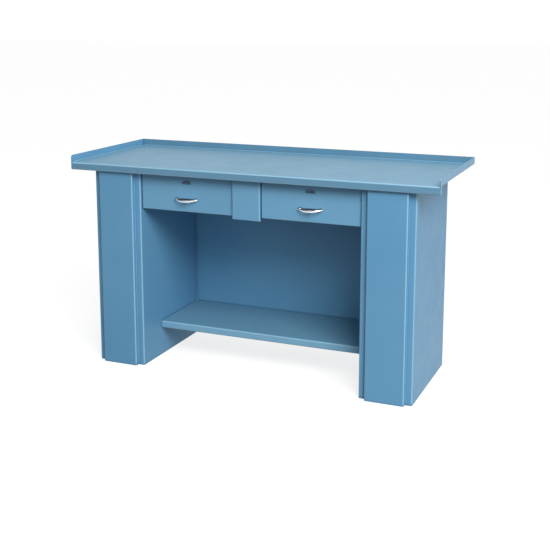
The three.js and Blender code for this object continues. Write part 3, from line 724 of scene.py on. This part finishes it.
def button_head(face, outward, radius, height, shank=0.0, shank_radius=0.0):
    """A button-head screw with a hexagon socket. It sits on `face` and looks along `outward`."""
    turn = 2 * math.pi / HEAD_SIDES

    def ring(reach, ring_radius):
        return ellipse(face + outward * reach, ring_radius, ring_radius, ALONG, UP, HEAD_SIDES)

    def socket(reach, ring_radius):
        centre = face + outward * reach
        return [hexagon_point(centre, i * turn, ring_radius) for i in range(HEAD_SIDES)]

    rings = [ring(-shank, shank_radius), ring(0, shank_radius)] if shank else []
    rings += [ring(height * up, radius * girth) for up, girth in HEAD_RIM]
    for step in range(1, HEAD_DOME_STEPS):
        angle = step / HEAD_DOME_STEPS * math.pi / 2
        up = HEAD_DOME_FOOT + (1 - HEAD_DOME_FOOT) * math.sin(angle)
        girth = 1 - HEAD_DOME_NARROWING * (1 - math.cos(angle))
        rings.append(ring(height * up, radius * girth))
    rings += [socket(height * up, radius * girth) for up, girth in HEAD_SOCKET]
    return loft(rings)


HANDLE_SCREW_HEAD = 2.6 * MM
HANDLE_SCREW_SHANK_RADIUS = 2.0 * MM


def add_handle_screws(word, finishes):
    """The two screws that hold a handle from inside its drawer."""
    for end in "ab":
        node = f"handle_screw_{word}_{end}"
        low, high = (Vector(corner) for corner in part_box(node))
        centre = box_centre((low, high))
        face = Vector((centre.x, high.y - HANDLE_SCREW_HEAD, centre.z))
        radius = (high.x - low.x) / 2
        shank = face.y - low.y
        mesh = button_head(
            face, -FORWARD, radius, HANDLE_SCREW_HEAD, shank, HANDLE_SCREW_SHANK_RADIUS
        )
        add_piece(f"button_{node}", mesh, finishes["zinc_plate"], f"drawer_{word}", node)


COVER_SCREW_INSET = 12 * MM
COVER_SCREW_ROWS = (0.03, 0.265, 0.5, 0.735, 0.97)
COVER_SCREW_RADIUS = 5.2 * MM
COVER_SCREW_HEAD = 2.8 * MM


def add_cover_screws(word, finishes):
    """Two rows of screws down a pedestal's back cover, into the flanges behind it."""
    low, high = (Vector(corner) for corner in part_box(f"pedestal_{word}_back_cover"))
    for column, x in enumerate((low.x + COVER_SCREW_INSET, high.x - COVER_SCREW_INSET)):
        for row, share in enumerate(COVER_SCREW_ROWS):
            face = Vector((x, high.y, low.z + share * (high.z - low.z)))
            mesh = button_head(face, -FORWARD, COVER_SCREW_RADIUS, COVER_SCREW_HEAD)
            name = f"cover_screw_{word}_{column}_{row}"
            add_piece(name, mesh, finishes["zinc_plate"], "bench")


# A buffer's outline. Each pair is a share of its length from the back and a share of its radius.
BUFFER_SIDES = 40
BUFFER_BACK = ((0.0, 0.97), (0.03, 1.0))
BUFFER_GROOVES = 3
BUFFER_FIRST_GROOVE = 0.14
BUFFER_GROOVE_STEP = 0.24
BUFFER_GROOVE = ((0.0, 1.0), (0.04, 0.9), (0.1, 0.9), (0.14, 1.0))
BUFFER_FRONT = ((0.9, 1.0), (0.96, 0.94), (1.0, 0.8))


def add_buffer(word, finishes):
    """A ribbed rubber buffer between a drawer's back and the back panel."""
    node = f"drawer_buffer_{word}"
    low, high = (Vector(corner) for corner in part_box(node))
    centre = box_centre((low, high))
    radius = (high.x - low.x) / 2
    length = high.y - low.y
    back = Vector((centre.x, high.y, centre.z))
    profile = list(BUFFER_BACK)
    for groove in range(BUFFER_GROOVES):
        start = BUFFER_FIRST_GROOVE + groove * BUFFER_GROOVE_STEP
        profile += [(start + along, girth) for along, girth in BUFFER_GROOVE]
    profile += BUFFER_FRONT
    rings = [
        ellipse(back + FORWARD * (share * length), radius * girth, radius * girth, ALONG, UP, BUFFER_SIDES)
        for share, girth in profile
    ]
    add_piece(f"ribbed_buffer_{word}", loft(rings), finishes["black_rubber"], "bench", node)


def add_small_parts(finishes):
    for word in SIDES:
        add_handle(word, finishes)
        add_handle_screws(word, finishes)
        add_cover_screws(word, finishes)
        add_buffer(word, finishes)


# ---------------------------------------------------------------- assembly


add_camera()
light_world()
add_key_light()
add_floor()
FINISHES = make_finishes()
dress_all_nodes(FINISHES)
add_small_parts(FINISHES)
